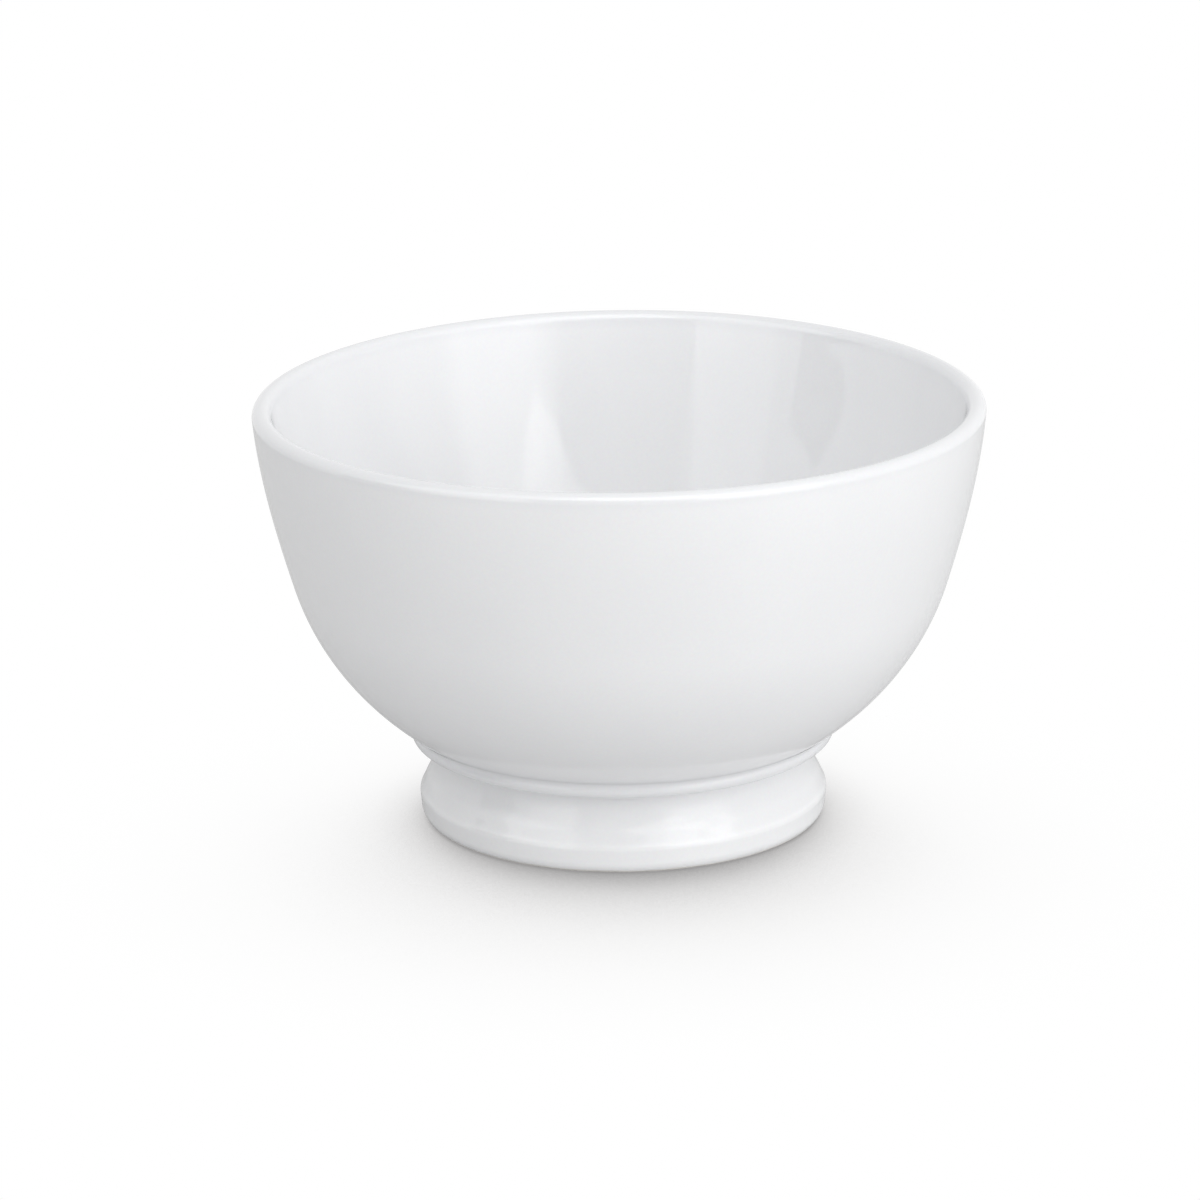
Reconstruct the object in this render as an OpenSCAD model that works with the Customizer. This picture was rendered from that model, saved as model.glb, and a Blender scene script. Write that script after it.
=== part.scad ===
// Footed latte bowl of white glazed porcelain.
// A round bowl and a hollow foot are formed apart and stuck together with a thin ring of clay slip.
// Millimetres, +Z up. The origin is the centre of the standing ring, on the surface it stands on.

/* [Bowl] */
// Diameter across the outside of the rim
rim_d = 120; // [112:1:140]
// Height of the whole bowl, from the table to the top of the rim
bowl_h = 71; // [62:0.5:90]
// Outside diameter of the wall at the belly
belly_d = 108; // [96:1:116]
// Height of the belly above the table
belly_h = 41; // [34:0.5:50]
// Lean of the outside wall at the rim, in degrees from upright
rim_lean_angle = 5; // [0:0.5:12]
// Lean of the inside wall just below the rim, in degrees from upright
rim_in_lean_angle = 9; // [4:0.5:16]
// Lean of the outside wall at the belly, in degrees from upright
belly_lean_angle = 16.5; // [10:0.5:26]
// Lean of the inside wall at the belly, in degrees from upright
belly_in_lean_angle = 20; // [12:0.5:30]
// Lean of the outside wall just above the foot, in degrees from upright
corner_lean_angle = 56.7; // [48:0.1:64]
// Thickness of the rim
rim_t = 3.2; // [2:0.1:5]
// Thickness of the wall at the belly
belly_t = 5; // [3:0.1:7]
// Thickness of the wall just above the foot
corner_t = 6; // [4:0.1:8]
// Thickness of the floor at its middle
floor_t = 4; // [3:0.1:7]
// How far the underside bulges down at its middle, below the joint
underside_drop = 3.4; // [1.5:0.1:5]

/* [Joint] */
// Height above the table of the crease where the wall meets the joint
joint_h = 15.4; // [13:0.1:20]
// Diameter of the bowl at that crease
joint_d = 69.1; // [64:0.1:80]
// Thickness of the slip between the bowl and the foot
slip_t = 0.5; // [0.3:0.1:1]
// Width of the fillet of slip inside the foot
slip_fillet_w = 1.4; // [0.8:0.1:2.5]

/* [Foot] */
// Greatest diameter of the foot, at the edge above its upright band
foot_d = 67.8; // [62:0.2:80]
// Height of that edge above the table
band_h = 4.35; // [3:0.05:6]
// Lean of the upright band, in degrees from upright
band_lean_angle = 4.5; // [0:0.5:10]
// Half the height over which the edge above the band is rounded
edge_round = 0.45; // [0.2:0.05:0.9]
// How far the neck, the narrowest part of the hollow, is drawn in from the crease above it
neck_inset = 3.4; // [2:0.05:5]
// Radius of the hollow where it turns out again under the bead
neck_round = 1.5; // [0.8:0.1:2.5]
// Thickness of the collar that reaches out over the hollow, under the slip
collar_t = 1; // [0.7:0.1:2]
// Radius of the bead round the top of the foot
bead_r = 1.2; // [0.8:0.05:1.8]
// How far the top of the bead steps out past the crease
bead_step = 0.5; // [0.2:0.05:1]
// Thickness of the foot's wall, from the neck to the bore
foot_wall_t = 4.3; // [3:0.1:7]
// How far the flat ring that the bowl stands on lies in from the edge above the band
standing_inset = 1.6; // [0.9:0.1:4]
// Width of that ring
standing_w = 2.9; // [1.5:0.1:4.5]
// Height of the rounding outside the standing ring
toe_h = 1.9; // [0.8:0.1:2.4]
// Height of the rounding inside the standing ring
heel_h = 1.3; // [0.6:0.1:2.4]

/* [Hidden] */

porcelain_white = [0.94, 0.94, 0.93];
slip_white = [0.90, 0.89, 0.87];

// Sides of the round bodies, and straight steps in each smooth stretch of an outline
round_sides = 180;
span_steps = 14;

// Lean of the inside wall just above the floor, and places along the foot's flare as shares of its run
inside_corner_lean_angle = 67;
instep_out_share = 0.53;
instep_up_share = 0.33;
instep_lean_angle = 30;
shoulder_lean_angle = 28;

// Angles at which the roundings of the bead, the slip and the standing ring set off and arrive
bead_top_angle = 23;
fillet_start_lean_angle = 20;
fillet_end_lean_angle = 75;
toe_lean_angle = 72;
heel_wall_lean_angle = 14;
heel_lean_angle = 60;

// Rim and belly, outside and inside
rim_out = [rim_d / 2, bowl_h - rim_t / 2];
rim_top = [(rim_d - rim_t) / 2, bowl_h];
rim_in = [rim_d / 2 - rim_t, bowl_h - rim_t / 2];
belly_out = [belly_d / 2, belly_h];
belly_in = belly_out + belly_t * inward(belly_lean_angle);
joint_edge = [joint_d / 2, joint_h];
corner_in = joint_edge + corner_t * inward(corner_lean_angle);

// The neck and the bore follow the crease, and the standing ring follows the edge above the band
neck_d = joint_d - 2 * neck_inset;
bore_d = neck_d - 2 * foot_wall_t;
standing_out_d = foot_d - 2 * standing_inset;

// The underside of the bowl is one shallow dome, and the slip and the foot lie against it
dome_r = (pow(joint_d / 2, 2) + pow(underside_drop, 2)) / (2 * underside_drop);
dome_centre_h = joint_h - underside_drop + dome_r;
joint_angle = dome_angle(joint_d / 2, 0);
bore_angle = dome_angle(bore_d / 2, slip_t);
fillet_angle = dome_angle(bore_d / 2 - slip_fillet_w, 0);
foot_edge_angle = dome_angle(joint_d / 2 + bead_step, slip_t);
neck_top_angle = dome_angle(neck_d / 2 + neck_round, slip_t + collar_t);
floor_middle = [0, joint_h - underside_drop + floor_t];

// Top of the foot, its bead and its neck
foot_edge = dome_point(foot_edge_angle, slip_t);
bead_middle = foot_edge - bead_r * [cos(bead_top_angle), sin(bead_top_angle)];
neck_top = dome_point(neck_top_angle, slip_t + collar_t);
neck = neck_top - [neck_round, neck_round];
bore_top = dome_point(bore_angle, slip_t);
bore_shoulder = bore_top - [0, slip_fillet_w];

// Flare, band and standing ring of the foot
shoulder = [foot_d / 2 - edge_round * tan(shoulder_lean_angle), band_h + edge_round];
band_top = [foot_d / 2 - edge_round * tan(band_lean_angle), band_h - edge_round];
band_foot = [foot_d / 2 - (band_h - toe_h) * tan(band_lean_angle), toe_h];
instep = neck + [
    instep_out_share * (shoulder[0] - neck[0]),
    (1 - instep_up_share) * (shoulder[1] - neck[1])
];
standing_out = [standing_out_d / 2, 0];
standing_in = [standing_out_d / 2 - standing_w, 0];
heel_top = [standing_in[0] - heel_h / tan(heel_lean_angle), heel_h];

// Direction that leans from upright by an angle: 90 points outwards, 180 down and -90 inwards
function heading(lean) = [sin(lean), cos(lean)];

// Direction square to a leaning wall, towards the axis
function inward(lean) = [-cos(lean), sin(lean)];

// Smooth stretch of outline that sets off and arrives at the given leans, without its last point
function span(start, start_lean, end, end_lean) =
    let (
        reach = norm(end - start) / (3 * pow(cos((end_lean - start_lean) / 4), 2)),
        first_pull = start + reach * heading(start_lean),
        last_pull = end - reach * heading(end_lean)
    )
    [
        for (i = [0 : span_steps - 1])
            let (t = i / span_steps, s = 1 - t)
            s * s * s * start + 3 * s * s * t * first_pull + 3 * s * t * t * last_pull + t * t * t * end
    ];

// Angle at the middle of the dome of a point at a radius, on the surface that lies a depth below it
function dome_angle(radius, depth) = asin(radius / (dome_r + depth));

// Place on that surface at an angle
function dome_point(angle, depth) =
    [(dome_r + depth) * sin(angle), dome_centre_h - (dome_r + depth) * cos(angle)];

// Points on that surface from one angle to another, both ends included
function dome_arc(start_angle, end_angle, depth) =
    [
        for (i = [0 : span_steps])
            dome_point(start_angle + (end_angle - start_angle) * i / span_steps, depth)
    ];

// Points round the bead, from its underside to the top edge of the foot, without the last
function bead_arc() =
    [
        for (i = [0 : span_steps - 1])
            let (angle = -90 + (90 + bead_top_angle) * i / span_steps)
            bead_middle + bead_r * [cos(angle), sin(angle)]
    ];

// Points in the opposite order
function backwards(points) = [for (i = [len(points) - 1 : -1 : 0]) points[i]];

// Points without the first
function tail(points) = [for (i = [1 : len(points) - 1]) points[i]];

// Body turned about the upright axis from half its section
module turned(outline) {
    rotate_extrude($fn = round_sides)
        polygon(outline);
}

// Bowl: wall, rounded rim and floor, with a domed underside that lands on the foot
module bowl() {
    outside = concat(
        span(joint_edge, corner_lean_angle, belly_out, belly_lean_angle),
        span(belly_out, belly_lean_angle, rim_out, rim_lean_angle)
    );
    rim = concat(
        span(rim_out, rim_lean_angle, rim_top, -90),
        span(rim_top, -90, rim_in, rim_in_lean_angle - 180)
    );
    inside = concat(
        span(rim_in, rim_in_lean_angle - 180, belly_in, belly_in_lean_angle - 180),
        span(belly_in, belly_in_lean_angle - 180, corner_in, inside_corner_lean_angle - 180),
        span(corner_in, inside_corner_lean_angle - 180, floor_middle, -90),
        [floor_middle]
    );
    underside = concat(
        dome_arc(0, fillet_angle, 0),
        tail(dome_arc(fillet_angle, joint_angle, 0))
    );
    color(porcelain_white)
        turned(concat(outside, rim, inside, underside));
}

// Foot: standing ring, upright band, hollow flare, neck and bead, open through the middle
module foot() {
    outside = concat(
        span(standing_out, toe_lean_angle, band_foot, band_lean_angle),
        [band_foot],
        span(band_top, band_lean_angle, shoulder, -shoulder_lean_angle),
        span(shoulder, -shoulder_lean_angle, instep, -instep_lean_angle),
        span(instep, -instep_lean_angle, neck, 0),
        span(neck, 0, neck_top, 90),
        [neck_top],
        bead_arc()
    );
    seat = backwards(dome_arc(bore_angle, foot_edge_angle, slip_t));
    inside = concat(
        span(bore_shoulder, 180, heel_top, 180 - heel_wall_lean_angle),
        span(heel_top, 180 - heel_wall_lean_angle, standing_in, 180 - heel_lean_angle),
        [standing_in]
    );
    color(porcelain_white)
        turned(concat(outside, seat, inside));
}

// Ring of fired slip between the two, with its fillet inside the foot and its smoothed edge outside
module slip_joint() {
    fillet_end = dome_point(fillet_angle, 0);
    under_bowl = dome_arc(fillet_angle, joint_angle, 0);
    on_foot = backwards(dome_arc(bore_angle, foot_edge_angle, slip_t));
    fillet = tail(span(bore_shoulder, -fillet_start_lean_angle, fillet_end, -fillet_end_lean_angle));
    color(slip_white)
        turned(concat(under_bowl, on_foot, [bore_shoulder], fillet));
}

bowl();
foot();
slip_joint();
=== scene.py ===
# Looks of a footed latte bowl: bowl, foot and slip joint in glazed white porcelain, in a white studio.
# Metres, +Z up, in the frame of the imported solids: the origin is the middle of the standing ring.

import math

import bmesh
import bpy
from bpy.props import FloatProperty, FloatVectorProperty, PointerProperty
from mathutils import Matrix, Vector


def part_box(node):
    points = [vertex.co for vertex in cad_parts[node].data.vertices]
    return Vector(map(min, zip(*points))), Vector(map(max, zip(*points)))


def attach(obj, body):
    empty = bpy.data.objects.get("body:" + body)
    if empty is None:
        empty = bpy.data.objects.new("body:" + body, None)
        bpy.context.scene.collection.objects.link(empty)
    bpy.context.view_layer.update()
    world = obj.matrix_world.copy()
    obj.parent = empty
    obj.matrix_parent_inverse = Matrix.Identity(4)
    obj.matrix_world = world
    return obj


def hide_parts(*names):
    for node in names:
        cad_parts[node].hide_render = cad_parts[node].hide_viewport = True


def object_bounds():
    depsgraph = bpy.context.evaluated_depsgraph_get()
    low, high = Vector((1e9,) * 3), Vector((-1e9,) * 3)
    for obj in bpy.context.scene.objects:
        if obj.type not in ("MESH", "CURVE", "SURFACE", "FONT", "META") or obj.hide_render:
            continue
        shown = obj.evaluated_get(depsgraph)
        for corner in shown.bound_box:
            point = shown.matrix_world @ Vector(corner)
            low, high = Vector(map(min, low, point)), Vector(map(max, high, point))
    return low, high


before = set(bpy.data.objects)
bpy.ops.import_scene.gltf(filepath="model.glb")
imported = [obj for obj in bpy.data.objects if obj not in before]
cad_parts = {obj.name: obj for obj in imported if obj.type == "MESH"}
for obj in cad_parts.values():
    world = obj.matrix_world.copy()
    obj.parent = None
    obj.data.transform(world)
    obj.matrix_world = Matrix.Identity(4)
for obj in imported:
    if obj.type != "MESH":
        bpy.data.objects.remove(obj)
cad_low, cad_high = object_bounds()

bl_info = {
    "name": "Latte Bowl",
    "version": (1, 0, 0),
    "blender": (4, 5, 0),
    "location": "View3D > Sidebar > Latte Bowl",
    "description": "Turns a footed porcelain bowl, glazes it and stands it in a white studio",
    "category": "Add Mesh",
}

BODY = "root"
MM = 0.001

_, bowl_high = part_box("bowl")


# Properties

def length(name, description, default):
    """A size in metres that the user may change."""
    return FloatProperty(
        name=name, description=description, default=default, min=0.0, precision=5,
        subtype="DISTANCE", unit="LENGTH",
    )


def lean(name, description, degrees):
    """An angle that the user may change, given in degrees and kept in radians."""
    return FloatProperty(
        name=name, description=description, default=math.radians(degrees),
        subtype="ANGLE", unit="ROTATION",
    )


def share(name, description, default):
    """A share from 0 to 1 that the user may change."""
    return FloatProperty(
        name=name, description=description, default=default, min=0.0, max=1.0, subtype="FACTOR",
    )


def colour(name, description, default):
    """A colour that the user may change."""
    return FloatVectorProperty(
        name=name, description=description, default=default, size=3, min=0.0, max=1.0, subtype="COLOR",
    )


def level(name, description, default):
    """A brightness that the user may change, where 1 is white."""
    return FloatProperty(name=name, description=description, default=default, min=0.0)


class BowlSizes(bpy.types.PropertyGroup):
    rim_d: length("Rim", "Diameter across the outside of the rim", 2 * bowl_high.x)
    bowl_h: length("Height", "Height of the bowl above the table", bowl_high.z)
    belly_d: length("Belly", "Outside diameter of the wall at the belly", 108 * MM)
    belly_h: length("Belly height", "Height of the belly above the table", 41 * MM)
    rim_lean: lean("Lean at the rim", "Lean of the outside wall at the rim", 5)
    rim_in_lean: lean("Lean inside the rim", "Lean of the inside wall just below the rim", 9)
    belly_lean: lean("Lean at the belly", "Lean of the outside wall at the belly", 16.5)
    belly_in_lean: lean("Lean inside the belly", "Lean of the inside wall at the belly", 20)
    corner_lean: lean("Lean at the crease", "Lean of the outside wall just above the foot", 56.7)
    inside_lean: lean("Lean inside", "Lean of the inside wall just above the floor", 67)
    rim_t: length("Rim thickness", "Thickness of the rim", 3.2 * MM)
    belly_t: length("Wall thickness", "Thickness of the wall at the belly", 5 * MM)
    corner_t: length("Corner thickness", "Thickness of the wall just above the foot", 6 * MM)
    floor_t: length("Floor thickness", "Thickness of the floor at its middle", 4 * MM)
    underside_drop: length("Underside", "How far the underside bulges below the joint", 3.4 * MM)
    rim_sag: length("Rim sag", "How much lower the rim lies at its left and right", 0.5 * MM)
    ovality: length("Ovality", "How far the fired wall is off round", 0.08 * MM)


class FootSizes(bpy.types.PropertyGroup):
    joint_h: length("Joint height", "Height of the crease above the table", 15.4 * MM)
    joint_d: length("Joint", "Diameter of the bowl at the crease", 69.1 * MM)
    slip_t: length("Slip", "Thickness of the slip between bowl and foot", 0.5 * MM)
    slip_fillet_w: length("Slip fillet", "Width of the slip's fillet inside the foot", 1.4 * MM)
    crease_fill: length("Crease fill", "How far the glaze fills the crease up the wall", 1.5 * MM)
    foot_d: length("Foot", "Greatest diameter of the foot", 67.8 * MM)
    band_h: length("Band", "Height of the edge above the upright band", 4.35 * MM)
    band_lean: lean("Lean of the band", "Lean of the upright band", 4.5)
    shoulder_lean: lean("Lean above the band", "Lean of the foot just above its edge", 28)
    edge_round: length("Edge rounding", "Half the height of the rounded edge", 0.45 * MM)
    instep_lean: lean("Lean of the flare", "Lean half way up the flare", 30)
    instep_out: share("Flare reach", "Share of the flare's width at its middle point", 0.53)
    instep_up: share("Flare rise", "Share of the flare's height at its middle point", 0.33)
    neck_inset: length("Neck inset", "How far the neck is drawn in from the crease", 3.4 * MM)
    neck_round: length("Neck rounding", "Radius of the hollow under the bead", 1.5 * MM)
    collar_t: length("Collar", "Thickness of the collar over the hollow", 1 * MM)
    bead_r: length("Bead", "Radius of the bead round the top of the foot", 1.2 * MM)
    bead_step: length("Bead step", "How far the bead steps out past the crease", 0.5 * MM)
    bead_top: lean("Bead top", "Angle at which the bead meets the joint", 23)
    wall_t: length("Foot wall", "Thickness of the foot's wall", 4.3 * MM)
    standing_inset: length("Standing inset", "How far the standing ring lies in", 1.6 * MM)
    standing_w: length("Standing ring", "Width of the standing ring", 2.9 * MM)
    toe_h: length("Toe", "Height of the rounding outside the standing ring", 1.9 * MM)
    toe_lean: lean("Lean of the toe", "Lean of the rounding where it leaves the table", 72)
    heel_h: length("Heel", "Height of the rounding inside the standing ring", 1.3 * MM)
    heel_lean: lean("Lean of the heel", "Lean of that rounding at the table", 60)
    heel_wall_lean: lean("Lean inside the foot", "Lean of the inner wall above the heel", 14)


class PorcelainFinish(bpy.types.PropertyGroup):
    glaze: colour("Glaze", "Porcelain seen through its clear glaze", (0.853, 0.857, 0.868))
    # Darker glaze colour: thick glaze in the bowl's well and in random clouds, and painted shade just above
    # the crease, on the rim, on the slip ring, in the foot's hollow and on its bead
    thick_and_shaded: colour("Thick And Shaded glaze", "Where the glaze has run thick", (0.812, 0.818, 0.834))
    # Lighter glaze colour on the foot: thinner glaze and a painted highlight on its edge, and painted light
    # on its band
    thin_and_lit: colour("Sheer And Lit glaze", "Where the glaze has run off the foot's band", (0.872, 0.876, 0.885))
    biscuit: colour("Biscuit", "Bare fired porcelain on the standing ring", (0.80, 0.785, 0.755))
    speck: colour("Speck", "Tiny dark specks in the body", (0.42, 0.40, 0.37))
    gloss: share("Roughness", "Roughness of the glaze", 0.03)
    biscuit_h: length("Bare height", "How high the bare ring shows above the table", 0.6 * MM)


class StudioSetup(bpy.types.PropertyGroup):
    paper: colour("Paper", "Grey of the paper floor, as it lights the object from below", (0.67, 0.67, 0.67))
    surround: level("Surround", "Brightness of the room", 0.715)
    right_level: level("Right softbox", "What the softbox in front at the right adds", 1.1)
    left_level: level("Left softbox", "What the softbox in front at the left adds", 0.5)
    tilted_level: level("Tilted softbox", "What the tilted softbox above the camera adds", 1.31)
    bounce_level: level("Right bounce", "What each of the two low lamps at the right adds", 1.4)
    fill_level: level("Left bounce", "What the weak lamp at the left adds", 0.1)
    gap_level: level("Gap", "Brightness of the grey card between the softboxes", 0.3)
    overhead_level: level("Overhead", "Brightness of the white card overhead", 2.1)
    side_level: level("Side card", "Brightness of the dark card at the left", 0.15)
    lens: FloatProperty(
        name="Lens", description="Focal length in millimetres", default=159.54, min=1.0,
    )


# Sections

# Steps in the stretches of a section, by kind
SPAN_STEPS = 16
LONG_SPAN_STEPS = 2 * SPAN_STEPS
CREASE_STEPS = 12
FILLET_STEPS = 8
STRAIGHT_STEPS = 4

QUARTER_TURN = math.pi / 2
HALF_TURN = math.pi

# Leans at which the slip's fillet inside the foot sets off and arrives
FILLET_START_LEAN = math.radians(20)
FILLET_END_LEAN = math.radians(75)


def heading(angle):
    """Direction that leans from upright: a quarter turn points outwards."""
    return Vector((math.sin(angle), math.cos(angle)))


def inward(angle):
    """Direction square to a leaning wall, towards the axis."""
    return Vector((-math.cos(angle), math.sin(angle)))


def span(start, start_lean, end, end_lean, steps=SPAN_STEPS):
    """Smooth stretch of a section that sets off and arrives at two leans, without its last point."""
    start, end = Vector(start), Vector(end)
    reach = (end - start).length / (3 * math.cos((end_lean - start_lean) / 4) ** 2)
    first_pull = start + reach * heading(start_lean)
    last_pull = end - reach * heading(end_lean)
    points = []
    for i in range(steps):
        t = i / steps
        s = 1 - t
        points.append(s ** 3 * start + 3 * s * s * t * first_pull + 3 * s * t * t * last_pull + t ** 3 * end)
    return points


def straight(start, end):
    """Straight stretch of a section, without its last point."""
    return [start.lerp(end, i / STRAIGHT_STEPS) for i in range(STRAIGHT_STEPS)]


class Underside:
    """The shallow dome below the bowl, and the surfaces that lie a depth below it."""

    def __init__(self, bowl, foot):
        half = foot.joint_d / 2
        self.radius = (half ** 2 + bowl.underside_drop ** 2) / (2 * bowl.underside_drop)
        self.centre_h = foot.joint_h - bowl.underside_drop + self.radius

    def point(self, radius, depth):
        """Place at a radius on the surface that lies a depth below the dome."""
        return Vector((radius, self.centre_h - math.sqrt((self.radius + depth) ** 2 - radius ** 2)))

    def arc(self, start_radius, end_radius, depth):
        """Points from one radius to another, both ends included."""
        return [
            self.point(start_radius + (end_radius - start_radius) * i / SPAN_STEPS, depth)
            for i in range(SPAN_STEPS + 1)
        ]


def bowl_section(bowl, foot):
    """Section of the bowl: up the outside, over the rim, down the inside and back under the floor."""
    dome = Underside(bowl, foot)
    rim_out = Vector((bowl.rim_d / 2, bowl.bowl_h - bowl.rim_t / 2))
    rim_top = Vector(((bowl.rim_d - bowl.rim_t) / 2, bowl.bowl_h))
    rim_in = Vector((bowl.rim_d / 2 - bowl.rim_t, bowl.bowl_h - bowl.rim_t / 2))
    belly_out = Vector((bowl.belly_d / 2, bowl.belly_h))
    belly_in = belly_out + bowl.belly_t * inward(bowl.belly_lean)
    crease = Vector((foot.joint_d / 2, foot.joint_h))
    corner_in = crease + bowl.corner_t * inward(bowl.corner_lean)
    floor_middle = Vector((0, foot.joint_h - bowl.underside_drop + bowl.floor_t))
    rim_down = bowl.rim_in_lean - HALF_TURN
    belly_down = bowl.belly_in_lean - HALF_TURN
    corner_down = bowl.inside_lean - HALF_TURN
    outside = (
        span(crease, bowl.corner_lean, belly_out, bowl.belly_lean, LONG_SPAN_STEPS)
        + span(belly_out, bowl.belly_lean, rim_out, bowl.rim_lean, LONG_SPAN_STEPS)
    )
    rim = (
        span(rim_out, bowl.rim_lean, rim_top, -QUARTER_TURN)
        + span(rim_top, -QUARTER_TURN, rim_in, rim_down)
    )
    inside = (
        span(rim_in, rim_down, belly_in, belly_down, LONG_SPAN_STEPS)
        + span(belly_in, belly_down, corner_in, corner_down)
        + span(corner_in, corner_down, floor_middle, -QUARTER_TURN)
        + [floor_middle]
    )
    underside = dome.arc(0, foot.joint_d / 2, 0)[:-1]
    return outside + rim + inside + underside


def neck_radius(foot):
    """Radius of the neck, the narrowest part of the hollow."""
    return foot.joint_d / 2 - foot.neck_inset


def bore_radius(foot):
    """Radius of the bore through the foot, where the slip's fillet starts."""
    return neck_radius(foot) - foot.wall_t


def bore_shoulder(dome, foot):
    """Place on the bore where the slip's fillet starts."""
    return dome.point(bore_radius(foot), foot.slip_t) - Vector((0, foot.slip_fillet_w))


def foot_section(bowl, foot):
    """Section of the foot: up from the table round the band, flare, hollow and bead, and down the bore."""
    dome = Underside(bowl, foot)
    edge_r = foot.foot_d / 2
    top_r = foot.joint_d / 2 + foot.bead_step
    neck_top = dome.point(neck_radius(foot) + foot.neck_round, foot.slip_t + foot.collar_t)
    neck = neck_top - Vector((foot.neck_round, foot.neck_round))
    bead_middle = dome.point(top_r, foot.slip_t)
    bead_middle = bead_middle - foot.bead_r * Vector((math.cos(foot.bead_top), math.sin(foot.bead_top)))
    shoulder = Vector((
        edge_r - foot.edge_round * math.tan(foot.shoulder_lean), foot.band_h + foot.edge_round,
    ))
    band_top = Vector((
        edge_r - foot.edge_round * math.tan(foot.band_lean), foot.band_h - foot.edge_round,
    ))
    band_foot = Vector((
        edge_r - (foot.band_h - foot.toe_h) * math.tan(foot.band_lean), foot.toe_h,
    ))
    instep = neck + Vector((
        foot.instep_out * (shoulder.x - neck.x), (1 - foot.instep_up) * (shoulder.y - neck.y),
    ))
    standing_out = Vector((edge_r - foot.standing_inset, 0))
    standing_in = standing_out - Vector((foot.standing_w, 0))
    heel_top = Vector((standing_in.x - foot.heel_h / math.tan(foot.heel_lean), foot.heel_h))
    heel_down = HALF_TURN - foot.heel_wall_lean
    bead = []
    for i in range(SPAN_STEPS):
        angle = -QUARTER_TURN + (QUARTER_TURN + foot.bead_top) * i / SPAN_STEPS
        bead.append(bead_middle + foot.bead_r * Vector((math.cos(angle), math.sin(angle))))
    outside = (
        span(standing_out, foot.toe_lean, band_foot, foot.band_lean)
        + straight(band_foot, band_top)
        + span(band_top, foot.band_lean, shoulder, -foot.shoulder_lean)
        + span(shoulder, -foot.shoulder_lean, instep, -foot.instep_lean)
        + span(instep, -foot.instep_lean, neck, 0)
        + span(neck, 0, neck_top, QUARTER_TURN)
        + straight(neck_top, bead[0])
    )
    seat = dome.arc(top_r, bore_radius(foot), foot.slip_t)
    inside = (
        span(bore_shoulder(dome, foot), HALF_TURN, heel_top, heel_down)
        + span(heel_top, heel_down, standing_in, HALF_TURN - foot.heel_lean)
        + straight(standing_in, standing_out)
    )
    return outside + bead + seat + inside


def slip_section(bowl, foot):
    """Section of the slip ring: a film between bowl and foot, a hollow fillet on each side of it."""
    dome = Underside(bowl, foot)
    bore_r = bore_radius(foot)
    crease_r = foot.joint_d / 2
    top_r = crease_r + foot.bead_step
    fillet_r = bore_r - foot.slip_fillet_w
    wall_up = Vector((crease_r, foot.joint_h)) + foot.crease_fill * heading(bowl.corner_lean)
    bead_edge = dome.point(top_r, foot.slip_t)
    under_bowl = dome.arc(fillet_r, crease_r, 0)
    crease = span(
        wall_up, bowl.corner_lean + HALF_TURN, bead_edge, HALF_TURN - foot.bead_top, CREASE_STEPS,
    )
    on_foot = dome.arc(top_r, bore_r, foot.slip_t)
    fillet = span(
        bore_shoulder(dome, foot), -FILLET_START_LEAN, dome.point(fillet_r, 0), -FILLET_END_LEAN,
        FILLET_STEPS,
    )
    return under_bowl + crease + on_foot + fillet


# Turning

# Sides of a turned piece, and the turn of its section from which a ring is a sharp edge
SIDES = 240
SHARP_TURN = math.radians(32)

# Lengths in metres that count as none
ON_AXIS = 1e-7
NO_LENGTH = 1e-9

# Waves of the fired wall: how many go round, and the angle in radians at which each starts
KILN_WAVES = ((3, 0.6), (5, 2.1))


def fired_wall(bowl):
    """How the wall moved in the kiln: the rim sinks at left and right, and the round goes a hair oval."""
    def place(radius, height, angle):
        rise = max(0.0, (height - bowl.belly_h) / (bowl.bowl_h - bowl.belly_h))
        ease = rise * rise * (3 - 2 * rise)
        sideways = (1 + math.cos(2 * angle)) / 2
        waves = [(1 + math.cos(count * angle + start)) / 2 for count, start in KILN_WAVES]
        drawn_in = ease * bowl.ovality * sum(waves) / len(waves)
        return radius - drawn_in, height - ease * bowl.rim_sag * sideways
    return place


def as_turned(radius, height, angle):
    """Place of a point that stays where the section puts it."""
    return radius, height


def turned_mesh(name, section, place=as_turned):
    """Turns a closed section about the upright axis, with one point where it meets the axis."""
    mesh = bpy.data.meshes.new(name)
    build = bmesh.new()
    rings = []
    for point in section:
        if point.x < ON_AXIS:
            rings.append([build.verts.new((0, 0, point.y))] * SIDES)
            continue
        ring = []
        for side in range(SIDES):
            angle = math.tau * side / SIDES
            radius, height = place(point.x, point.y, angle)
            ring.append(build.verts.new((radius * math.cos(angle), radius * math.sin(angle), height)))
        rings.append(ring)
    for low, high in zip(rings, rings[1:] + rings[:1]):
        for side in range(SIDES):
            after = (side + 1) % SIDES
            corners = []
            for vert in (low[side], low[after], high[after], high[side]):
                if vert not in corners:
                    corners.append(vert)
            if len(corners) > 2:
                build.faces.new(corners)
    mark_sharp_rings(build, rings, section)
    for face in build.faces:
        face.smooth = True
    build.to_mesh(mesh)
    build.free()
    piece = bpy.data.objects.new(name, mesh)
    bpy.context.scene.collection.objects.link(piece)
    return piece


def mark_sharp_rings(build, rings, section):
    """Marks the ring edges sharp where the section turns by more than SHARP_TURN."""
    count = len(section)
    for i, ring in enumerate(rings):
        before = section[i] - section[i - 1]
        after = section[(i + 1) % count] - section[i]
        if min(before.length, after.length) < NO_LENGTH or ring[0] is ring[1]:
            continue
        if before.angle(after) > SHARP_TURN:
            for side in range(SIDES):
                edge = build.edges.get((ring[side], ring[(side + 1) % SIDES]))
                if edge:
                    edge.smooth = False


# Node helpers

NUMBER = "NodeSocketFloat"
COLOUR = "NodeSocketColor"
WHITE = (1, 1, 1, 1)


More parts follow.
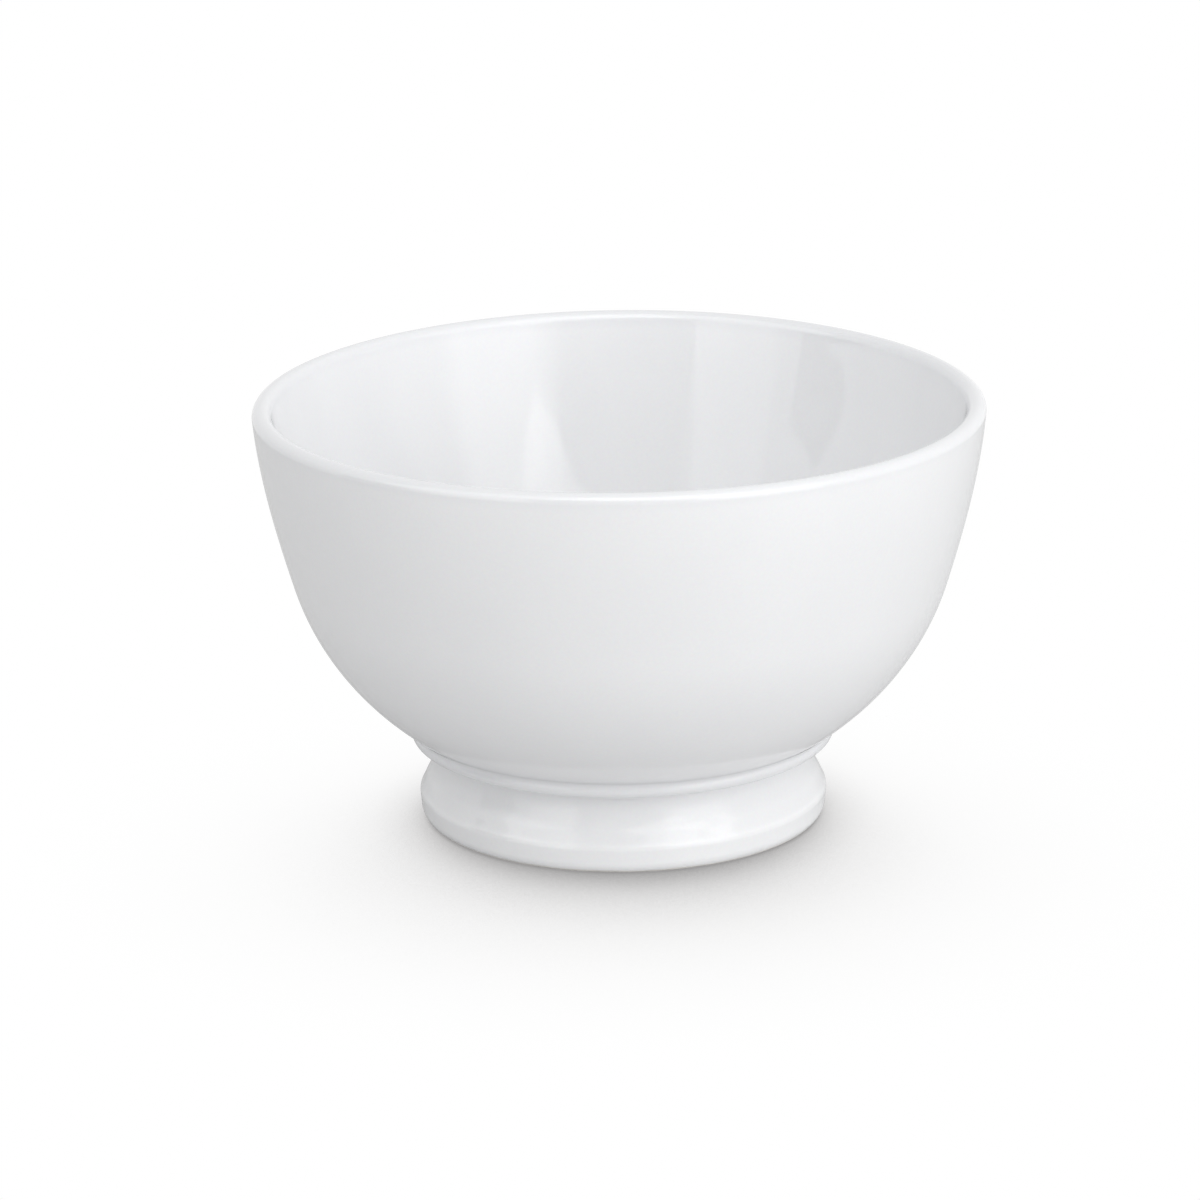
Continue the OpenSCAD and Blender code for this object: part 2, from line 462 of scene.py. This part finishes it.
def put(tree, kind, settings=None, inputs=None):
    """Adds a node, applies its settings and fills its inputs with values or links."""
    node = tree.nodes.new(kind)
    for key, value in (settings or {}).items():
        setattr(node, key, value)
    for key, value in (inputs or {}).items():
        if isinstance(value, bpy.types.NodeSocket):
            tree.links.new(value, node.inputs[key])
        else:
            node.inputs[key].default_value = value
    return node


def maths(tree, operation, first, second=0.0, clamp=False):
    """Result of one sum."""
    node = put(tree, "ShaderNodeMath", {"operation": operation, "use_clamp": clamp}, {0: first, 1: second})
    return node.outputs[0]


def times(tree, first, *others):
    """Product of masks and shares."""
    for other in others:
        first = maths(tree, "MULTIPLY", first, other)
    return first


def ramp(tree, value, start, end):
    """Mask that climbs smoothly from 0 at start to 1 at end, or falls where start is the greater."""
    low, high, rising = (start, end, True) if start < end else (end, start, False)
    node = put(
        tree, "ShaderNodeMapRange", {"interpolation_type": "SMOOTHSTEP"},
        {"Value": value, "From Min": low, "From Max": high,
         "To Min": 0.0 if rising else 1.0, "To Max": 1.0 if rising else 0.0},
    )
    return node.outputs["Result"]


def blend_numbers(tree, share_of_second, first, second):
    """Number between two others."""
    node = put(
        tree, "ShaderNodeMix", {"data_type": "FLOAT"}, {0: share_of_second, 2: first, 3: second},
    )
    return node.outputs[0]


def blend_colours(tree, share_of_second, first, second):
    """Colour between two others."""
    node = put(
        tree, "ShaderNodeMix", {"data_type": "RGBA"}, {0: share_of_second, 6: first, 7: second},
    )
    return node.outputs[2]


def on_object(tree):
    """Place of each point on its object, which carries every pattern."""
    return put(tree, "ShaderNodeTexCoord").outputs["Object"]


def cloudy(tree, place, scale, detail):
    """Soft noise over the object."""
    return put(tree, "ShaderNodeTexNoise", inputs={"Vector": place, "Scale": scale, "Detail": detail})


def new_group(name, inputs, outputs):
    """Empty shader node group with named sockets, its tree and its two end nodes."""
    tree = bpy.data.node_groups.new(name, "ShaderNodeTree")
    for label, kind in inputs:
        tree.interface.new_socket(name=label, in_out="INPUT", socket_type=kind)
    for label, kind in outputs:
        tree.interface.new_socket(name=label, in_out="OUTPUT", socket_type=kind)
    return tree, tree.nodes.new("NodeGroupInput"), tree.nodes.new("NodeGroupOutput")


def opaque(rgb):
    """Colour with full alpha."""
    return (*rgb, 1.0)


# Shared effects

# Cloudiness of the glaze: its grain, the noise at which a cloud starts and is full, and what it changes
CLOUD_SCALE = 55.0
CLOUD_DETAIL = 3.0
CLOUD_START = 0.35
CLOUD_FULL = 0.7
CLOUD_POOL = 0.22
CLOUD_ROUGHNESS = 0.02

# Dots in the glaze: the cells that may hold one, its size in its cell, and which cells are chosen
CELL_SCALE = 260.0
DOT_EDGE = 0.045
DOT_CORE = 0.02
SPECK_START = 0.93
SPECK_FULL = 0.96
SPECK_DEPTH = 0.55
PINHOLE_START = 0.9
PINHOLE_FULL = 0.92
PINHOLE_DEPTH = 0.6

# Fine grain in the colour, and the two ripples in the surface
GRAIN = 0.055
GRAIN_SCALE = 1900.0
GRAIN_DETAIL = 1.0
PEEL_SCALE = 520.0
PEEL_DETAIL = 2.0
PEEL_HEIGHT = 0.10
DRIFT_SCALE = 75.0
DRIFT_DETAIL = 1.0

# Bare biscuit: its grit and its rubbed patches
GRIT_SCALE = 2600.0
GRIT_DETAIL = 4.0
RUBBED_SCALE = 180.0
RUBBED_DETAIL = 2.0
RUBBED_START = 0.45
RUBBED_FULL = 0.75
RUBBED_VALUE = 0.90
BISCUIT_ROUGHNESS = (0.62, 0.85)


def place_on_pot_group():
    """Gives each point's distance from the axis and its height above the table."""
    tree, _, out = new_group("Place on the pot", [], [("Radius", NUMBER), ("Height", NUMBER)])
    split = put(tree, "ShaderNodeSeparateXYZ", inputs={0: on_object(tree)})
    flat = put(tree, "ShaderNodeCombineXYZ", inputs={0: split.outputs[0], 1: split.outputs[1]})
    reach = put(tree, "ShaderNodeVectorMath", {"operation": "LENGTH"}, {0: flat.outputs[0]})
    tree.links.new(reach.outputs["Value"], out.inputs["Radius"])
    tree.links.new(split.outputs[2], out.inputs["Height"])
    return tree


def glaze_group():
    """Clear glaze over porcelain: thick glaze and painted shade, thinner glaze and painted light,
    cloudiness, specks, pinholes and ripple.
    """
    tree, given, out = new_group(
        "Fired glaze",
        [
            ("Glaze", COLOUR), ("Thick And Shaded", COLOUR), ("Sheer And Lit", COLOUR), ("Speck", COLOUR),
            ("Thick And Shade Mask", NUMBER), ("Sheer And Lit Mask", NUMBER), ("Roughness", NUMBER),
        ],
        [("Colour", COLOUR), ("Roughness", NUMBER), ("Height", NUMBER)],
    )
    place = on_object(tree)
    cloud = cloudy(tree, place, CLOUD_SCALE, CLOUD_DETAIL)
    mottled = times(tree, ramp(tree, cloud.outputs["Fac"], CLOUD_START, CLOUD_FULL), CLOUD_POOL)
    # The darker colour and its mask are thick glaze in places and painted shade in others
    thick_and_shade = maths(tree, "ADD", given.outputs["Thick And Shade Mask"], mottled, clamp=True)
    body = blend_colours(tree, thick_and_shade, given.outputs["Glaze"], given.outputs["Thick And Shaded"])
    # The lighter colour is thinner glaze and a painted highlight on the foot's edge, and painted light on
    # its band
    edged = blend_colours(tree, given.outputs["Sheer And Lit Mask"], body, given.outputs["Sheer And Lit"])
    cells = put(
        tree, "ShaderNodeTexVoronoi", {"feature": "F1"},
        {"Vector": place, "Scale": CELL_SCALE, "Randomness": 1.0},
    )
    dot = ramp(tree, cells.outputs["Distance"], DOT_EDGE, DOT_CORE)
    cell_tone = put(tree, "ShaderNodeSeparateColor", inputs={0: cells.outputs["Color"]})
    chosen = ramp(tree, cell_tone.outputs[0], SPECK_START, SPECK_FULL)
    speckled = blend_colours(tree, times(tree, dot, chosen, SPECK_DEPTH), edged, given.outputs["Speck"])
    grain = cloudy(tree, place, GRAIN_SCALE, GRAIN_DETAIL)
    tint = put(
        tree, "ShaderNodeVectorMath", {"operation": "MULTIPLY_ADD"},
        {0: grain.outputs["Color"], 1: (GRAIN,) * 3, 2: (1.0 - GRAIN / 2,) * 3},
    )
    grained = put(tree, "ShaderNodeVectorMath", {"operation": "MULTIPLY"}, {0: speckled, 1: tint.outputs[0]})
    peel = cloudy(tree, place, PEEL_SCALE, PEEL_DETAIL)
    drift = cloudy(tree, place, DRIFT_SCALE, DRIFT_DETAIL)
    waves = maths(tree, "ADD", times(tree, peel.outputs["Fac"], PEEL_HEIGHT), drift.outputs["Fac"])
    pinhole = times(tree, dot, ramp(tree, cell_tone.outputs[1], PINHOLE_START, PINHOLE_FULL), PINHOLE_DEPTH)
    surface = maths(tree, "SUBTRACT", waves, pinhole)
    softened = times(tree, cloud.outputs["Fac"], CLOUD_ROUGHNESS)
    rough = maths(tree, "ADD", given.outputs["Roughness"], softened)
    tree.links.new(grained.outputs[0], out.inputs["Colour"])
    tree.links.new(rough, out.inputs["Roughness"])
    tree.links.new(surface, out.inputs["Height"])
    return tree


def biscuit_group():
    """Bare fired porcelain: a dry, faintly sandy skin with rubbed patches."""
    tree, given, out = new_group(
        "Bare biscuit",
        [("Biscuit", COLOUR)],
        [("Colour", COLOUR), ("Roughness", NUMBER), ("Height", NUMBER)],
    )
    place = on_object(tree)
    grit = cloudy(tree, place, GRIT_SCALE, GRIT_DETAIL)
    rubbed = cloudy(tree, place, RUBBED_SCALE, RUBBED_DETAIL)
    worn = ramp(tree, rubbed.outputs["Fac"], RUBBED_START, RUBBED_FULL)
    darker = put(
        tree, "ShaderNodeHueSaturation", inputs={"Color": given.outputs["Biscuit"], "Value": RUBBED_VALUE},
    )
    tone = blend_colours(tree, worn, given.outputs["Biscuit"], darker.outputs[0])
    smoothest, roughest = BISCUIT_ROUGHNESS
    rough = put(tree, "ShaderNodeMapRange", inputs={
        "Value": rubbed.outputs["Fac"], "To Min": smoothest, "To Max": roughest,
    })
    tree.links.new(tone, out.inputs["Colour"])
    tree.links.new(rough.outputs[0], out.inputs["Roughness"])
    tree.links.new(grit.outputs["Fac"], out.inputs["Height"])
    return tree


def group_node(tree, name, maker, inputs=None):
    """Places a shared group in a material, and makes the group the first time it is asked for."""
    group = bpy.data.node_groups.get(name) or maker()
    return put(tree, "ShaderNodeGroup", {"node_tree": group}, inputs)


# Materials

# Heights of the ripple in the glaze and of the grit on the bare ring, and how the glaze bends light
RIPPLE_HEIGHT = 0.010 * MM
GRIT_HEIGHT = 0.02 * MM
GLAZE_IOR = 1.52

# Darker glaze colour on the bowl: thick glaze in the well by distance from the axis, then painted shade just
# above the crease and on the rim by height
WELL_START_R = 34 * MM
WELL_FULL_R = 12 * MM
WELL_POOL = 0.8
CREASE_SHADE_H = 3 * MM
RIM_SHADE_START = 3.2 * MM
RIM_SHADE_FULL = 0.8 * MM

# Painted shade on the foot, in the darker glaze colour: the hollow by distance from the axis, outside the
# bore, then the bead by height
HOLLOW_START_R = 32.6 * MM
HOLLOW_FULL_R = 31.2 * MM
BORE_SIDE_R = 28 * MM
OUTER_SIDE_R = 29 * MM
HOLLOW_SHADE = 0.25
BEAD_SHADE_START = 3.2 * MM
BEAD_SHADE_FULL = 2.2 * MM

# Lighter glaze colour on the edge above the band, partly thinner glaze and partly a painted highlight: from
# below it to above it and by how far out it lies
EDGE_LOW_START = 0.9 * MM
EDGE_LOW_FULL = 0.1 * MM
EDGE_HIGH_START = 1.2 * MM
EDGE_HIGH_FULL = 0.3 * MM
EDGE_IN_START = 0.9 * MM
EDGE_IN_FULL = 0.2 * MM
# Painted light on the band below the edge: where it fades out at the top, and its share of the lighter
# colour
BAND_TOP_FADE = 0.3 * MM
BAND_LIGHT = 0.7

# Line of the bare ring: how far it wanders, at what grain, and where it ends below its height
LINE_SCALE = 160.0
LINE_DETAIL = 2.0
LINE_WANDER = 0.5 * MM
LINE_START = 0.2 * MM
LINE_FULL = 0.3 * MM


def porcelain(name, finish, masks):
    """Glazed porcelain material. masks(tree, radius, height) gives the masks for thick glaze and painted
    shade, for thinner glaze and painted light, and for bare biscuit.
    """
    material = bpy.data.materials.new(name)
    material.use_nodes = True
    tree = material.node_tree
    surface = tree.nodes["Principled BSDF"]
    place = group_node(tree, "Place on the pot", place_on_pot_group)
    thick_and_shade, thin_and_lit, bare = masks(tree, place.outputs["Radius"], place.outputs["Height"])
    glaze = group_node(tree, "Fired glaze", glaze_group, {
        "Glaze": opaque(finish.glaze), "Thick And Shaded": opaque(finish.thick_and_shaded), "Sheer And Lit": opaque(finish.thin_and_lit),
        "Speck": opaque(finish.speck), "Thick And Shade Mask": thick_and_shade, "Sheer And Lit Mask": thin_and_lit, "Roughness": finish.gloss,
    })
    biscuit = group_node(tree, "Bare biscuit", biscuit_group, {"Biscuit": opaque(finish.biscuit)})
    tone = blend_colours(tree, bare, glaze.outputs["Colour"], biscuit.outputs["Colour"])
    rough = blend_numbers(tree, bare, glaze.outputs["Roughness"], biscuit.outputs["Roughness"])
    ripple = put(tree, "ShaderNodeBump", inputs={
        "Strength": 1.0, "Distance": RIPPLE_HEIGHT, "Height": glaze.outputs["Height"],
    })
    grit = times(tree, bare, biscuit.outputs["Height"])
    relief = put(tree, "ShaderNodeBump", inputs={
        "Strength": 1.0, "Distance": GRIT_HEIGHT, "Height": grit, "Normal": ripple.outputs[0],
    })
    tree.links.new(tone, surface.inputs["Base Color"])
    tree.links.new(rough, surface.inputs["Roughness"])
    tree.links.new(relief.outputs[0], surface.inputs["Normal"])
    surface.inputs["IOR"].default_value = GLAZE_IOR
    return material


def bowl_masks(bowl, foot):
    """Thick glaze in the well, and painted shade just above the crease and on the rim."""
    def masks(tree, radius, height):
        well = times(tree, ramp(tree, radius, WELL_START_R, WELL_FULL_R), WELL_POOL)
        # Painted shade just above the crease, in the darker glaze colour
        crease_shade = ramp(tree, height, foot.joint_h + CREASE_SHADE_H, foot.joint_h)
        # Painted shade on the rim, in the darker glaze colour
        rim_shade = ramp(tree, height, bowl.bowl_h - RIM_SHADE_START, bowl.bowl_h - RIM_SHADE_FULL)
        thick_and_shade = maths(tree, "MAXIMUM", well, crease_shade)
        thick_and_shade = maths(tree, "MAXIMUM", thick_and_shade, rim_shade)
        return thick_and_shade, 0.0, 0.0
    return masks


def foot_masks(finish, foot):
    """Painted shade in the hollow and on the bead; a lighter colour that is painted light on the band and,
    on its edge, partly thinner glaze and partly a painted highlight; and a bare ring.
    """
    def masks(tree, radius, height):
        # Painted shade in the hollow under the bead, in the darker glaze colour
        hollow_shade = ramp(tree, radius, HOLLOW_START_R, HOLLOW_FULL_R)
        outer_side = ramp(tree, radius, BORE_SIDE_R, OUTER_SIDE_R)
        # Painted shade on the bead and above it, in the darker glaze colour
        bead_shade = ramp(tree, height, foot.joint_h - BEAD_SHADE_START, foot.joint_h - BEAD_SHADE_FULL)
        thick_and_shade = maths(tree, "MAXIMUM", times(tree, hollow_shade, outer_side, HOLLOW_SHADE), bead_shade)
        # The edge takes the lighter glaze colour: partly thinner glaze, partly a painted highlight
        from_below = ramp(tree, height, foot.band_h - EDGE_LOW_START, foot.band_h + EDGE_LOW_FULL)
        from_above = ramp(tree, height, foot.band_h + EDGE_HIGH_START, foot.band_h + EDGE_HIGH_FULL)
        far_out = ramp(tree, radius, foot.foot_d / 2 - EDGE_IN_START, foot.foot_d / 2 - EDGE_IN_FULL)
        on_edge = times(tree, from_below, from_above, far_out)
        # Painted light on the band, in the lighter glaze colour
        band_light = times(tree, ramp(tree, height, foot.band_h + BAND_TOP_FADE, foot.band_h), BAND_LIGHT)
        thin_and_lit = maths(tree, "MAXIMUM", on_edge, band_light)
        wander = cloudy(tree, on_object(tree), LINE_SCALE, LINE_DETAIL)
        line = maths(tree, "SUBTRACT", height, times(tree, wander.outputs["Fac"], LINE_WANDER))
        bare = ramp(tree, line, finish.biscuit_h - LINE_START, finish.biscuit_h - LINE_FULL)
        return thick_and_shade, thin_and_lit, bare
    return masks


def slip_masks(tree, radius, height):
    """Painted shade all over: the darker glaze colour on the whole ring in the crease."""
    return 1.0, 0.0, 0.0


# Studio

# How far the lamps and the cards stand from the middle of the bowl
LAMP_DISTANCE = 1.0
FRONT_CARD_DISTANCE = 1.1
OVERHEAD_CARD_DISTANCE = 1.2
SIDE_CARD_DISTANCE = 1.15

UP = Vector((0, 0, 1))


def aim(place, target):
    """Matrix of a light or camera at a place that looks at a target, upright."""
    ahead = (target - place).normalized()
    right = ahead.cross(UP).normalized()
    up = right.cross(ahead)
    turn = Matrix((right, up, -ahead)).transposed().to_4x4()
    return Matrix.Translation(place) @ turn


def around(azimuth, elevation, distance, centre):
    """Place seen from the centre: azimuth 0 is towards the camera and grows to the right, in degrees."""
    a, e = math.radians(azimuth), math.radians(elevation)
    return centre + distance * Vector((math.sin(a) * math.cos(e), -math.cos(a) * math.cos(e), math.sin(e)))


def facing(azimuth, elevation, distance, centre):
    """Matrix of a lamp or card that stands round the centre and faces it."""
    return aim(around(azimuth, elevation, distance, centre), centre)


def spread(angle, distance):
    """Width that an angle in degrees takes at a distance."""
    return 2 * distance * math.tan(math.radians(angle) / 2)


def softbox(name, centre, brightness, azimuth, elevation, wide, high, soft_edge, turn=0.0, mirrored=True):
    """Large soft lamp that the camera doesn't see. The glaze mirrors it unless mirrored is False."""
    lamp = bpy.data.lights.new(name, "AREA")
    lamp.shape = "RECTANGLE"
    lamp.size = spread(wide, LAMP_DISTANCE)
    lamp.size_y = spread(high, LAMP_DISTANCE)
    lamp.energy = brightness * math.pi * lamp.size * lamp.size_y
    lamp.use_nodes = True
    tree = lamp.node_tree
    across = put(tree, "ShaderNodeNewGeometry").outputs["Parametric"]
    sides = put(tree, "ShaderNodeSeparateXYZ", inputs={0: across})
    across_width = edge_falloff(tree, sides.outputs[0], soft_edge)
    across_height = edge_falloff(tree, sides.outputs[1], soft_edge)
    cloth = times(tree, across_width, across_height)
    tree.links.new(cloth, tree.nodes["Emission"].inputs["Strength"])
    box = bpy.data.objects.new(name, lamp)
    tilt = Matrix.Rotation(math.radians(turn), 4, "Z")
    box.matrix_world = facing(azimuth, elevation, LAMP_DISTANCE, centre) @ tilt
    box.visible_camera = False
    box.visible_glossy = mirrored
    bpy.context.scene.collection.objects.link(box)


def edge_falloff(tree, place, soft_edge):
    """Mask over a softbox's width or height: 1 in the middle, down to 0 at both edges."""
    from_middle = maths(tree, "ABSOLUTE", maths(tree, "SUBTRACT", place, 0.5))
    return ramp(tree, from_middle, 0.5, 0.5 - soft_edge)


def sheet(name, half_w, half_h, material):
    """Flat rectangle that is part of the studio and not of the object."""
    mesh = bpy.data.meshes.new(name)
    corners = [(-1, -1), (1, -1), (1, 1), (-1, 1)]
    mesh.from_pydata([(x * half_w, y * half_h, 0) for x, y in corners], [], [(0, 1, 2, 3)])
    mesh.materials.append(material)
    flat = bpy.data.objects.new(name, mesh)
    bpy.context.scene.collection.objects.link(flat)
    return flat


def mirrored_card(name, centre, brightness, azimuth, elevation, wide, high, distance):
    """Flat card that only the glaze mirrors, so many degrees wide and high from the centre."""
    half_w = spread(wide, distance) / 2
    half_h = spread(high, distance) / 2
    card = sheet(name, half_w, half_h, card_material(name, brightness))
    card.matrix_world = facing(azimuth, elevation, distance, centre)
    card.visible_camera = False
    card.visible_diffuse = False
    card.visible_shadow = False


def card_material(name, brightness):
    """Even grey or white that doesn't depend on the lamps."""
    material = bpy.data.materials.new(name)
    material.use_nodes = True
    tree = material.node_tree
    tree.nodes.clear()
    glow = put(tree, "ShaderNodeEmission", inputs={"Color": WHITE, "Strength": brightness})
    put(tree, "ShaderNodeOutputMaterial", inputs={"Surface": glow.outputs[0]})
    return material


def white_room(strength):
    """World that lights softly and shows white behind the object and in its glaze."""
    world = bpy.data.worlds.new("White room")
    bpy.context.scene.world = world
    world.use_nodes = True
    tree = world.node_tree
    tree.nodes.clear()
    path = put(tree, "ShaderNodeLightPath")
    seen = maths(tree, "MAXIMUM", path.outputs["Is Camera Ray"], path.outputs["Is Glossy Ray"])
    seen = maths(tree, "MAXIMUM", seen, path.outputs["Is Transmission Ray"])
    glow = blend_numbers(tree, seen, strength, 1.0)
    light = put(tree, "ShaderNodeBackground", inputs={"Color": WHITE, "Strength": glow})
    put(tree, "ShaderNodeOutputWorld", inputs={"Surface": light.outputs[0]})


# Half the width of the paper, and from where to where the glaze mirrors it as grey and then as white
FLOOR_HALF = 3.0
GREY_REACH = 250 * MM
WHITE_REACH = 420 * MM
PAPER_ROUGHNESS = 0.22

# Painted shadow on the paper, made from ambient occlusion and not from the lamps: a wide one as if light
# leaned in from behind, and a narrow one under the foot
SHADOW_SAMPLES = 10
SHADOW_TINT = (1.0, 0.972, 0.968)
DARKEST = 0.34
CAST_LEAN = math.radians(32)
CAST_REACH = 80 * MM
CAST_SHARPNESS = 3.7
CAST_DEPTH = 1.32
CONTACT_LEAN = 0.0
CONTACT_REACH = 16 * MM
CONTACT_SHARPNESS = 2.0
CONTACT_DEPTH = 0.46


def shadow_share(tree, lean_back, reach, sharpness, depth):
    """Share of white that the painted shadow takes away: ambient occlusion by the object over the paper, as
    if light leaned in from behind.
    """
    towards = put(tree, "ShaderNodeCombineXYZ", inputs={1: math.sin(lean_back), 2: math.cos(lean_back)})
    sky = put(
        tree, "ShaderNodeAmbientOcclusion", {"samples": SHADOW_SAMPLES},
        {"Distance": reach, "Normal": towards.outputs[0]},
    )
    covered = maths(tree, "SUBTRACT", 1.0, sky.outputs["AO"])
    return times(tree, maths(tree, "POWER", covered, sharpness), depth)


def paper_material(paper):
    """Satin grey paper that the camera sees white with a painted shadow, as the glaze does further out."""
    material = bpy.data.materials.new("White paper")
    material.use_nodes = True
    tree = material.node_tree
    lit = tree.nodes["Principled BSDF"]
    lit.inputs["Base Color"].default_value = opaque(paper)
    lit.inputs["Roughness"].default_value = PAPER_ROUGHNESS
    path = put(tree, "ShaderNodeLightPath")
    mirrored = maths(tree, "MAXIMUM", path.outputs["Is Glossy Ray"], path.outputs["Is Transmission Ray"])
    spot = group_node(tree, "Place on the pot", place_on_pot_group)
    far = ramp(tree, spot.outputs["Radius"], GREY_REACH, WHITE_REACH)
    seen = maths(tree, "MAXIMUM", path.outputs["Is Camera Ray"], times(tree, mirrored, far))
    # Painted shadow from ambient occlusion, not from the lamps
    cast = shadow_share(tree, CAST_LEAN, CAST_REACH, CAST_SHARPNESS, CAST_DEPTH)
    contact = shadow_share(tree, CONTACT_LEAN, CONTACT_REACH, CONTACT_SHARPNESS, CONTACT_DEPTH)
    white = maths(tree, "SUBTRACT", maths(tree, "SUBTRACT", 1.0, cast), contact)
    white = maths(tree, "MAXIMUM", white, DARKEST)
    tint = blend_colours(tree, white, opaque(SHADOW_TINT), WHITE)
    plain = put(tree, "ShaderNodeEmission", inputs={"Color": tint, "Strength": white})
    mixed = put(tree, "ShaderNodeMixShader", inputs={0: seen, 1: lit.outputs[0], 2: plain.outputs[0]})
    tree.links.new(mixed.outputs[0], tree.nodes["Material Output"].inputs["Surface"])
    return material


# The camera stands round a pivot on the axis of the bowl and looks at its target, rolled a little
CAMERA_DISTANCE = 0.87949
CAMERA_ELEVATION = math.radians(17.0125)
CAMERA_ROLL = math.radians(-0.7327)
CAMERA_PIVOT_H = 0.035
CAMERA_TARGET = Vector((-0.003504, 0, 0.03617))
SENSOR_WIDTH = 36.0
NEAR_CLIP = 0.05
FAR_CLIP = 20


def build_camera(context, studio):
    """Camera at the photograph's viewing angle."""
    lens = bpy.data.cameras.new("Camera")
    lens.sensor_width = SENSOR_WIDTH
    lens.lens = studio.lens
    lens.clip_start = NEAR_CLIP
    lens.clip_end = FAR_CLIP
    camera = bpy.data.objects.new("Camera", lens)
    place = Vector((
        0,
        -CAMERA_DISTANCE * math.cos(CAMERA_ELEVATION),
        CAMERA_PIVOT_H + CAMERA_DISTANCE * math.sin(CAMERA_ELEVATION),
    ))
    camera.matrix_world = aim(place, CAMERA_TARGET) @ Matrix.Rotation(CAMERA_ROLL, 4, "Z")
    context.scene.collection.objects.link(camera)
    context.scene.camera = camera


# Operators

def chosen_settings(scene):
    """The sizes of the bowl and the foot, and the finish, as the user has them."""
    return scene.bowl_sizes, scene.foot_sizes, scene.porcelain_finish


def finish_piece(piece, node, material):
    """Gives a piece its material and its place in the frame's table."""
    piece.data.materials.append(material)
    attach(piece, BODY)
    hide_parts(node)


class LATTEBOWL_OT_bowl(bpy.types.Operator):
    """Turns the porcelain bowl"""
    bl_idname = "latte_bowl.bowl"
    bl_label = "Bowl"

    def execute(self, context):
        bowl, foot, finish = chosen_settings(context.scene)
        piece = turned_mesh("bowl_body", bowl_section(bowl, foot), fired_wall(bowl))
        material = porcelain("Glazed porcelain, bowl", finish, bowl_masks(bowl, foot))
        finish_piece(piece, "bowl", material)
        return {"FINISHED"}


class LATTEBOWL_OT_foot(bpy.types.Operator):
    """Turns the porcelain foot"""
    bl_idname = "latte_bowl.foot"
    bl_label = "Foot"

    def execute(self, context):
        bowl, foot, finish = chosen_settings(context.scene)
        piece = turned_mesh("foot_body", foot_section(bowl, foot))
        material = porcelain("Glazed porcelain, foot", finish, foot_masks(finish, foot))
        finish_piece(piece, "foot", material)
        return {"FINISHED"}


class LATTEBOWL_OT_slip(bpy.types.Operator):
    """Makes the ring of fired slip between bowl and foot"""
    bl_idname = "latte_bowl.slip"
    bl_label = "Slip joint"

    def execute(self, context):
        bowl, foot, finish = chosen_settings(context.scene)
        piece = turned_mesh("slip_ring", slip_section(bowl, foot))
        material = porcelain("Glazed slip", finish, slip_masks)
        finish_piece(piece, "slip_joint", material)
        return {"FINISHED"}


class LATTEBOWL_OT_studio(bpy.types.Operator):
    """Sets the white floor, the soft lamps and the camera"""
    bl_idname = "latte_bowl.studio"
    bl_label = "Studio"

    def execute(self, context):
        studio = context.scene.studio_setup
        centre = Vector((0, 0, cad_high.z / 2))
        white_room(studio.surround)
        softbox(
            "Right softbox", centre, studio.right_level,
            azimuth=45, elevation=14, wide=44, high=30, soft_edge=0.25,
        )
        softbox(
            "Left softbox", centre, studio.left_level,
            azimuth=-42, elevation=15, wide=32, high=34, soft_edge=0.05,
        )
        softbox(
            "Tilted softbox", centre, studio.tilted_level,
            azimuth=19, elevation=47, wide=60, high=36, soft_edge=0.05, turn=-40,
        )
        softbox(
            "Right bounce", centre, studio.bounce_level,
            azimuth=85, elevation=8, wide=60, high=24, soft_edge=0.3, mirrored=False,
        )
        softbox(
            "Front bounce", centre, studio.bounce_level,
            azimuth=48, elevation=8, wide=60, high=26, soft_edge=0.3, mirrored=False,
        )
        softbox(
            "Left bounce", centre, studio.fill_level,
            azimuth=-70, elevation=15, wide=60, high=40, soft_edge=0.3, mirrored=False,
        )
        mirrored_card(
            "front_gap", centre, studio.gap_level,
            azimuth=-3, elevation=20.5, wide=48, high=45, distance=FRONT_CARD_DISTANCE,
        )
        mirrored_card(
            "overhead_card", centre, studio.overhead_level,
            azimuth=-3, elevation=60, wide=120, high=42, distance=OVERHEAD_CARD_DISTANCE,
        )
        mirrored_card(
            "left_card", centre, studio.side_level,
            azimuth=-79, elevation=6, wide=26, high=20, distance=SIDE_CARD_DISTANCE,
        )
        sheet("paper_floor", FLOOR_HALF, FLOOR_HALF, paper_material(studio.paper))
        build_camera(context, studio)
        context.scene.view_settings.view_transform = "Standard"
        return {"FINISHED"}


class LATTEBOWL_PT_panel(bpy.types.Panel):
    """Lists the steps and the sizes of the latte bowl"""
    bl_idname = "LATTEBOWL_PT_panel"
    bl_label = "Latte Bowl"
    bl_space_type = "VIEW_3D"
    bl_region_type = "UI"
    bl_category = "Latte Bowl"

    def draw(self, context):
        layout = self.layout
        for step in STEPS:
            layout.operator(step.bl_idname)
        for group in SETTINGS:
            box = layout.box()
            values = getattr(context.scene, group)
            for key in values.bl_rna.properties.keys():
                if key not in ("rna_type", "name"):
                    box.prop(values, key)


STEPS = [LATTEBOWL_OT_studio, LATTEBOWL_OT_bowl, LATTEBOWL_OT_foot, LATTEBOWL_OT_slip]
SETTINGS = {
    "bowl_sizes": BowlSizes,
    "foot_sizes": FootSizes,
    "porcelain_finish": PorcelainFinish,
    "studio_setup": StudioSetup,
}


def register():
    for group in [*SETTINGS.values(), *STEPS, LATTEBOWL_PT_panel]:
        bpy.utils.register_class(group)
    for name, group in SETTINGS.items():
        setattr(bpy.types.Scene, name, PointerProperty(type=group))


def unregister():
    for name in SETTINGS:
        delattr(bpy.types.Scene, name)
    for group in reversed([*SETTINGS.values(), *STEPS, LATTEBOWL_PT_panel]):
        bpy.utils.unregister_class(group)


def main():
    """Builds the studio and the pieces."""
    register()
    bpy.ops.latte_bowl.studio()
    bpy.ops.latte_bowl.bowl()
    bpy.ops.latte_bowl.foot()
    bpy.ops.latte_bowl.slip()


if __name__ == "__main__":
    main()
